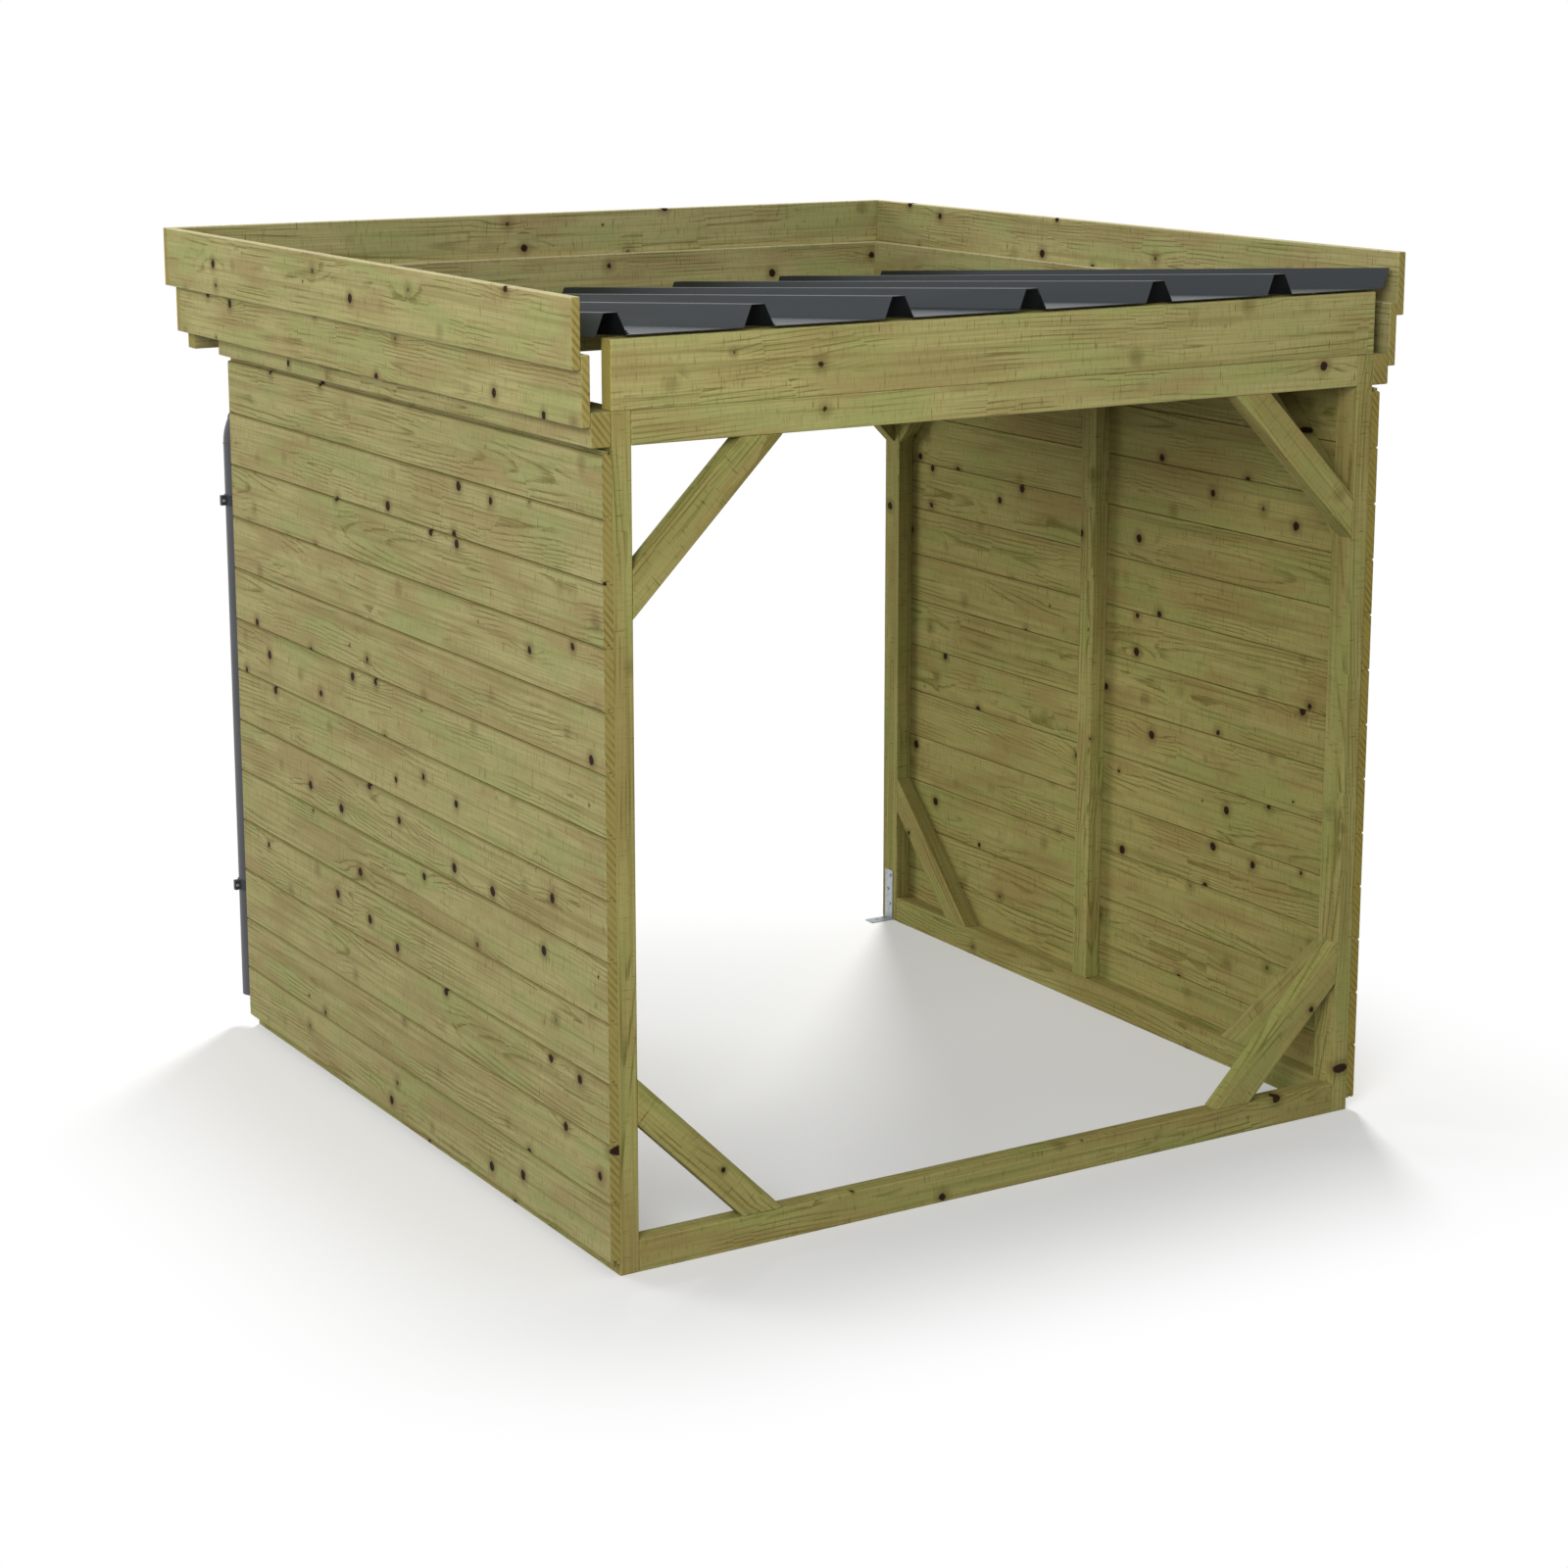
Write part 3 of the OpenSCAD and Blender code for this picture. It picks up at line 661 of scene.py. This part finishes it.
def washer_rubber(name):
    """Moulded EPDM rubber of the washers: black, matt and slightly chalky outdoors"""
    look = bpy.context.scene.logstore_fixings
    material, put = new_material(name)
    place = put("ShaderNodeTexCoord").outputs["Object"]
    chalk = put("ShaderNodeTexNoise", {"Vector": place, "Scale": 1 / (2 * MM), "Detail": 2.0})
    tone = put("ShaderNodeMapRange", [chalk, 0.4, 0.7, 0.0, 0.3], interpolation_type="SMOOTHSTEP")
    colour = put("ShaderNodeMix", [tone, linear(look.rubber), linear(look.chalk)], data_type="RGBA")
    bump = put("ShaderNodeBump", {"Strength": 0.2, "Distance": 0.2 * MM, "Height": chalk})
    shader = put(
        "ShaderNodeBsdfPrincipled",
        {"Base Color": colour, "Roughness": 0.8, "Normal": bump, "Specular IOR Level": 0.3})
    put("ShaderNodeOutputMaterial", {"Surface": shader})
    return material


# ---- screws, washers and bolts ----

# the share of a head's height that has straight sides, under its chamfer
STRAIGHT_PART = 0.65
# how far in from the beam's back edge its screws stand
BEAM_SCREW_EDGE = 8 * MM
# how far in from the ends of its ears a clamp's bolt stands
EAR_BOLT_EDGE = 6 * MM
# the sheet of a foot angle, its top screw, and how far its screws stand off their middle line
ANGLE_SHEET = 2.5 * MM
ANGLE_TOP_EDGE = 16 * MM
ANGLE_STAGGER = 6 * MM


def head_tree():
    """Geometry Nodes that set a screw head or a washer on every point, along its axis"""
    tree = bpy.data.node_groups.new("Screw heads", "GeometryNodeTree")
    put = functools.partial(add, tree)
    tree.interface.new_socket("Geometry", in_out="INPUT", socket_type="NodeSocketGeometry")
    for name, kind in (
            ("Width", "NodeSocketFloat"), ("Top width", "NodeSocketFloat"),
            ("Height", "NodeSocketFloat"), ("Sides", "NodeSocketInt"), ("Seed", "NodeSocketInt"),
            ("Material", "NodeSocketMaterial")):
        tree.interface.new_socket(name, in_out="INPUT", socket_type=kind)
    tree.interface.new_socket("Geometry", in_out="OUTPUT", socket_type="NodeSocketGeometry")
    given = put("NodeGroupInput")
    wide = put("ShaderNodeMath", [given.outputs["Width"], 0.5], operation="MULTIPLY")
    top = put("ShaderNodeMath", [given.outputs["Top width"], 0.5], operation="MULTIPLY")
    body_h = put("ShaderNodeMath", [given.outputs["Height"], STRAIGHT_PART], operation="MULTIPLY")
    cap_h = put(
        "ShaderNodeMath", [given.outputs["Height"], 1 - STRAIGHT_PART], operation="MULTIPLY")
    body = put(
        "GeometryNodeMeshCone",
        {"Vertices": given.outputs["Sides"],
         "Radius Top": wide, "Radius Bottom": wide, "Depth": body_h})
    cap = put(
        "GeometryNodeMeshCone",
        {"Vertices": given.outputs["Sides"],
         "Radius Top": top, "Radius Bottom": wide, "Depth": cap_h})
    lift = put("ShaderNodeCombineXYZ", {"Z": body_h})
    cap = put("GeometryNodeTransform", {"Geometry": cap, "Translation": lift})
    head = put("GeometryNodeJoinGeometry")
    for part in (body, cap):
        tree.links.new(part.outputs[0], head.inputs[0])
    head = put("GeometryNodeMergeByDistance", {"Geometry": head, "Distance": MERGE_DISTANCE})
    axis = put("GeometryNodeInputNamedAttribute", {"Name": "axis"}, data_type="FLOAT_VECTOR")
    turn = put("FunctionNodeAlignRotationToVector", {"Vector": axis}, axis="Z")
    spin = put(
        "FunctionNodeRandomValue", {"Max": math.tau, "Seed": given.outputs["Seed"]},
        data_type="FLOAT")
    spin = put("FunctionNodeAxisAngleToRotation", {"Axis": (0, 0, 1), "Angle": spin})
    turn = put(
        "FunctionNodeRotateRotation", {"Rotation": turn, "Rotate By": spin}, rotation_space="LOCAL")
    heads = put(
        "GeometryNodeInstanceOnPoints",
        {"Points": given.outputs["Geometry"], "Instance": head, "Rotation": turn})
    heads = put("GeometryNodeRealizeInstances", {"Geometry": heads})
    heads = put(
        "GeometryNodeSetMaterial", {"Geometry": heads, "Material": given.outputs["Material"]})
    put("NodeGroupOutput", {"Geometry": heads})
    return tree


def set_heads(tree, name, points, material, slot, **sizes):
    """Runs the tree on points and their axes, and keeps the result as a plain mesh"""
    seeds = bpy.data.meshes.new(name + "_points")
    seeds.from_pydata([place for place, axis in points], [], [])
    axes = seeds.attributes.new("axis", "FLOAT_VECTOR", "POINT")
    for k, (place, axis) in enumerate(points):
        axes.data[k].vector = axis
    holder = bpy.data.objects.new(name + "_points", seeds)
    bpy.context.scene.collection.objects.link(holder)
    modifier = holder.modifiers.new("heads", "NODES")
    modifier.node_group = tree
    given = {"Material": material, **sizes}
    for item in tree.interface.items_tree:
        if item.in_out == "INPUT" and item.name in given:
            modifier[item.identifier] = given[item.name]
    evaluated = holder.evaluated_get(bpy.context.evaluated_depsgraph_get())
    data = bpy.data.meshes.new_from_object(evaluated)
    data.name = name
    holder.modifiers.remove(modifier)
    bpy.data.objects.remove(holder)
    piece = bpy.data.objects.new(name, data)
    bpy.context.scene.collection.objects.link(piece)
    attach(piece, "root")
    return piece


def roof_points(look):
    """Where the roofing screws stand: beside each rib, over each timber"""
    beam, purlin, lintel = (
        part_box(node) for node in ("front_roof_beam", "middle_purlin", "back_lintel"))
    rows = (
        beam[1][1] - BEAM_SCREW_EDGE, (purlin[0][1] + purlin[1][1]) / 2,
        (lintel[0][1] + lintel[1][1]) / 2)
    start = beam[0][0] + look.first_rib
    ribs = int((beam[1][0] - start) / look.rib_pitch)
    columns = [start + k * look.rib_pitch + look.screw_gap for k in range(ribs + 1)]
    sheets = []
    for node in SHEET_NODES:
        mesh = merged_copy(node)
        sheets.append(BVHTree.FromBMesh(mesh))
        mesh.free()
    points = []
    for x in columns:
        for y in rows:
            above = Vector((x, y, CAD_BOX[1][2] + 1))
            hits = [sheet.ray_cast(above, Vector((0, 0, -1))) for sheet in sheets]
            place, normal = max(
                ((hit[0], hit[1]) for hit in hits if hit[0]), key=lambda hit: hit[0].z)
            points.append((place, normal))
    return points


def clamp_points(look):
    """Both ends of the bolt through the ears of each clamp"""
    pipe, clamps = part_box("downpipe"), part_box("downpipe_clamps")
    row = pipe[0][1] + look.pipe_width / 2
    x = clamps[0][0] + EAR_BOLT_EDGE
    half = look.clamp_height / 2
    return [
        (Vector((x, row + side * look.ear_thickness / 2, z)), Vector((0, side, 0)))
        for z in (clamps[0][2] + half, clamps[1][2] - half) for side in (-1, 1)
    ]


def angle_points(look):
    """Three screws in the upright leg of each foot angle"""
    low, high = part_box("foot_angles")
    y = (low[1] + high[1]) / 2
    top = high[2] - ANGLE_TOP_EDGE
    return [
        (Vector((x, y + lean * ANGLE_STAGGER, top - k * look.screw_pitch)), Vector((way, 0, 0)))
        for x, way in ((low[0] + ANGLE_SHEET, 1), (high[0] - ANGLE_SHEET, -1))
        for k, lean in enumerate((-1, 1, -1))
    ]


# ---- operators: one for each group of like pieces ----

class PieceOperator:
    """What the operators share"""

    bl_options = {"REGISTER", "UNDO"}


class LOGSTORE_OT_frame(PieceOperator, bpy.types.Operator):
    """Planes the posts, plates, lintels, studs, braces, rails and roof timbers"""

    bl_idname = "logstore.frame"
    bl_label = "Frame timbers"

    def execute(self, context):
        look = context.scene.logstore_timber
        for names, finish, cast, seed in (
                (FRAME_NODES, "planed frame timber", look.frame_cast, 11),
                (HEAD_NODES, "planed beams and lintels", look.head_cast, 13),
                (RAIL_NODES, "planed rail", look.board_cast, 17)):
            dress_timber(names, treated_pine("Treated pine, " + finish, cast), look.arris, seed)
        return {"FINISHED"}


class LOGSTORE_OT_boards(PieceOperator, bpy.types.Operator):
    """Gives every wall board its own run of wood"""

    bl_idname = "logstore.boards"
    bl_label = "Wall boards"

    def execute(self, context):
        look = context.scene.logstore_timber
        # the right wall's boards take the painted shade copy of the wood
        finishes = (("board", look.board_cast, 23), ("board, right wall", look.painted_shade_cast, 29))
        for node, (finish, cast, seed) in zip(BOARD_NODES, finishes):
            material = treated_pine("Treated pine, tongued and grooved " + finish, cast)
            dress_timber([node], material, 0, seed)
        return {"FINISHED"}


class LOGSTORE_OT_parapet(PieceOperator, bpy.types.Operator):
    """Planes the fascia boards"""

    bl_idname = "logstore.parapet"
    bl_label = "Fascia boards"

    def execute(self, context):
        look = context.scene.logstore_timber
        dress_timber(
            FASCIA_NODES, treated_pine("Treated pine, planed fascia board", look.fascia_cast),
            look.arris, 37)
        return {"FINISHED"}


class LOGSTORE_OT_roof(PieceOperator, bpy.types.Operator):
    """Coats the roof sheets"""

    bl_idname = "logstore.roof"
    bl_label = "Roof sheets"

    def execute(self, context):
        material = coated_steel("Polyester-coated steel, roll-formed")
        for name in SHEET_NODES:
            assign(name, material)
        return {"FINISHED"}


class LOGSTORE_OT_rainwater(PieceOperator, bpy.types.Operator):
    """Finishes the gutter, the downpipe, its bends and its clamps"""

    bl_idname = "logstore.rainwater"
    bl_label = "Gutter and downpipe"

    def execute(self, context):
        look = context.scene.logstore_rainwater
        shell = rainwater_plastic("Rainwater plastic, extruded", look.shell, 0.42)
        for name in ("gutter", "downpipe", "downpipe_bends"):
            assign(name, shell)
        assign(
            "downpipe_clamps",
            rainwater_plastic("Glass-filled plastic, moulded", look.clamp, 0.55))
        return {"FINISHED"}


class LOGSTORE_OT_fixings(PieceOperator, bpy.types.Operator):
    """Galvanises the foot angles and sets the screws, washers and clamp bolts"""

    bl_idname = "logstore.fixings"
    bl_label = "Angles, screws and bolts"

    def execute(self, context):
        scene = context.scene
        roof, metal = scene.logstore_roof, scene.logstore_fixings
        zinc = dipped_zinc("Hot-dip zinc on pressed steel")
        assign("foot_angles", zinc)
        tree = head_tree()
        places = roof_points(roof)
        set_heads(
            tree, "roofing_washers", places, washer_rubber("EPDM rubber, moulded"), "roof_steel",
            Width=roof.washer, Height=roof.washer_height, Sides=20, Seed=1,
            **{"Top width": 0.8 * roof.washer})
        places = [(place + roof.washer_height * axis, axis) for place, axis in places]
        set_heads(
            tree, "roofing_screws", places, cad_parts[SHEET_NODES[0]].data.materials[0],
            "roof_steel", Width=roof.head, Height=roof.head_height, Sides=6, Seed=2,
            **{"Top width": 0.8 * roof.head})
        set_heads(
            tree, "clamp_bolts", clamp_points(scene.logstore_rainwater), zinc, "zinc_steel",
            Width=metal.head, Height=metal.head_height, Sides=6, Seed=3,
            **{"Top width": 0.85 * metal.head})
        set_heads(
            tree, "angle_screws", angle_points(metal), zinc, "zinc_steel",
            Width=metal.head, Height=metal.head_height, Sides=24, Seed=4,
            **{"Top width": 0.6 * metal.head})
        return {"FINISHED"}


# the camera's sensor in millimetres, how far it sees, and the radius of the floor
SENSOR_WIDTH = 36
SIGHT = 200
FLOOR_RADIUS = 40
# how far from the walls the floor starts to turn white
SHADOW_CORE = 0.1
# the place of each lamp, what it points at, and its diameter
LAMPS = {
    "key": ((-4.8, -5.4, 3.8), (0, 0, 0.8), 3.5),
    "back": ((-4.8, 5.4, 3.0), (0, 0, 0.8), 3.5),
    "rim": ((3.9, 4.95, 5.4), (0, 0, 0.5), 1.8),
    "top": ((-0.5, -0.5, 6.5), (0, 0, 1.0), 5.0),
}


class LOGSTORE_OT_stage(PieceOperator, bpy.types.Operator):
    """Sets the camera, the pale floor and the soft light"""

    bl_idname = "logstore.stage"
    bl_label = "Stage"

    def execute(self, context):
        stage = context.scene.logstore_stage
        scene = context.scene
        camera = bpy.data.objects.new("camera", bpy.data.cameras.new("camera"))
        camera.data.lens = stage.lens
        camera.data.sensor_width = SENSOR_WIDTH
        camera.data.shift_y = -stage.lens_drop
        camera.data.clip_end = SIGHT
        camera.location = stage.eye
        camera.rotation_euler = (math.pi / 2 - stage.dip, 0, -stage.turn)
        scene.collection.objects.link(camera)
        scene.camera = camera
        scene.view_settings.view_transform = "Standard"
        make_floor(stage)
        make_sky(scene, stage)
        for name, (place, target, size) in LAMPS.items():
            make_lamp(name, place, target, size, getattr(stage, name))
        return {"FINISHED"}


def assign(node, material):
    """Gives a CAD node's object a material"""
    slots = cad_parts[node].data.materials
    slots.clear()
    slots.append(material)


def make_floor(stage):
    """A wide pale floor. The camera sees it mostly by its own colour, which keeps a soft
    shadow, and all white further out, where it meets the white backdrop."""
    material, put = new_material("Pale studio floor")
    path = put("ShaderNodeLightPath")
    seen = put("ShaderNodeMath", [path.outputs["Is Camera Ray"], path.outputs["Is Glossy Ray"]],
               operation="MAXIMUM")
    # distance out from the walls
    low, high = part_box("left_wall_boards")
    middle = (low[1] + high[1]) / 2
    away = put("ShaderNodeTexCoord").outputs["Object"]
    away = put("ShaderNodeVectorMath", [away, (0, middle, 0)], operation="SUBTRACT")
    away = put("ShaderNodeVectorMath", [away], operation="ABSOLUTE")
    away = put(
        "ShaderNodeVectorMath", [away, (-low[0], (high[1] - low[1]) / 2, 0)],
        operation="SUBTRACT")
    away = put("ShaderNodeVectorMath", [away, (0, 0, 0)], operation="MAXIMUM")
    away = put("ShaderNodeVectorMath", [away], operation="LENGTH")
    white = put(
        "ShaderNodeMapRange", [away, SHADOW_CORE, stage.shadow_reach, stage.floor_white, 1.0],
        interpolation_type="SMOOTHSTEP")
    white = put("ShaderNodeMath", [white, seen], operation="MULTIPLY")
    colour = put(
        "ShaderNodeMix", [seen, linear(stage.floor_bounce), linear(stage.floor)], data_type="RGBA")
    matt = put(
        "ShaderNodeBsdfPrincipled",
        {"Base Color": colour, "Roughness": 0.9, "Specular IOR Level": 0.1})
    own = put("ShaderNodeEmission", {"Color": (1, 1, 1, 1), "Strength": 1.0})
    both = put("ShaderNodeMixShader", [white, matt, own])
    put("ShaderNodeOutputMaterial", {"Surface": both})
    mesh = bmesh.new()
    bmesh.ops.create_circle(mesh, cap_ends=True, segments=96, radius=FLOOR_RADIUS)
    data = bpy.data.meshes.new("studio_floor")
    mesh.to_mesh(data)
    mesh.free()
    data.materials.append(material)
    floor = bpy.data.objects.new("studio_floor", data)
    bpy.context.scene.collection.objects.link(floor)


def make_sky(scene, stage):
    """Even light from all round, and white where the camera or a gloss sees the background"""
    world = bpy.data.worlds.new("studio")
    world.use_nodes = True
    world.node_tree.nodes.clear()
    scene.world = world
    put = functools.partial(add, world.node_tree)
    path = put("ShaderNodeLightPath")
    seen = put("ShaderNodeMath", [path.outputs["Is Camera Ray"], path.outputs["Is Glossy Ray"]],
               operation="MAXIMUM")
    seen = put("ShaderNodeMath", [seen, path.outputs["Is Transmission Ray"]], operation="MAXIMUM")
    light = put("ShaderNodeBackground", {"Color": (1, 1, 1, 1), "Strength": stage.sky})
    white = put("ShaderNodeBackground", {"Color": (1, 1, 1, 1), "Strength": 1.0})
    both = put("ShaderNodeMixShader", [seen, light, white])
    put("ShaderNodeOutputWorld", {"Surface": both})


def make_lamp(name, place, target, size, power):
    """A round soft lamp, left out of every reflection"""
    data = bpy.data.lights.new(name, "AREA")
    data.shape = "DISK"
    data.size = size
    data.energy = power
    lamp = bpy.data.objects.new(name, data)
    lamp.visible_glossy = False
    lamp.location = place
    lamp.rotation_euler = (Vector(target) - Vector(place)).to_track_quat("-Z", "Y").to_euler()
    bpy.context.scene.collection.objects.link(lamp)


class LOGSTORE_PT_panel(bpy.types.Panel):
    """Lists the log store's operators"""

    bl_idname = "LOGSTORE_PT_panel"
    bl_label = "Log store"
    bl_space_type = "VIEW_3D"
    bl_region_type = "UI"
    bl_category = "Log store"

    def draw(self, context):
        for operator in OPERATORS:
            self.layout.operator(operator.bl_idname)


OPERATORS = (
    LOGSTORE_OT_stage, LOGSTORE_OT_frame, LOGSTORE_OT_boards, LOGSTORE_OT_parapet,
    LOGSTORE_OT_roof, LOGSTORE_OT_rainwater, LOGSTORE_OT_fixings,
)


def register():
    for group in SETTINGS.values():
        bpy.utils.register_class(group)
    for operator in OPERATORS:
        bpy.utils.register_class(operator)
    bpy.utils.register_class(LOGSTORE_PT_panel)
    for name, group in SETTINGS.items():
        setattr(bpy.types.Scene, name, bpy.props.PointerProperty(type=group))


def unregister():
    for name in SETTINGS:
        delattr(bpy.types.Scene, name)
    bpy.utils.unregister_class(LOGSTORE_PT_panel)
    for operator in reversed(OPERATORS):
        bpy.utils.unregister_class(operator)
    for group in reversed(list(SETTINGS.values())):
        bpy.utils.unregister_class(group)


def main():
    register()
    for operator in OPERATORS:
        family, verb = operator.bl_idname.split(".")
        getattr(getattr(bpy.ops, family), verb)()


if __name__ == "__main__":
    main()
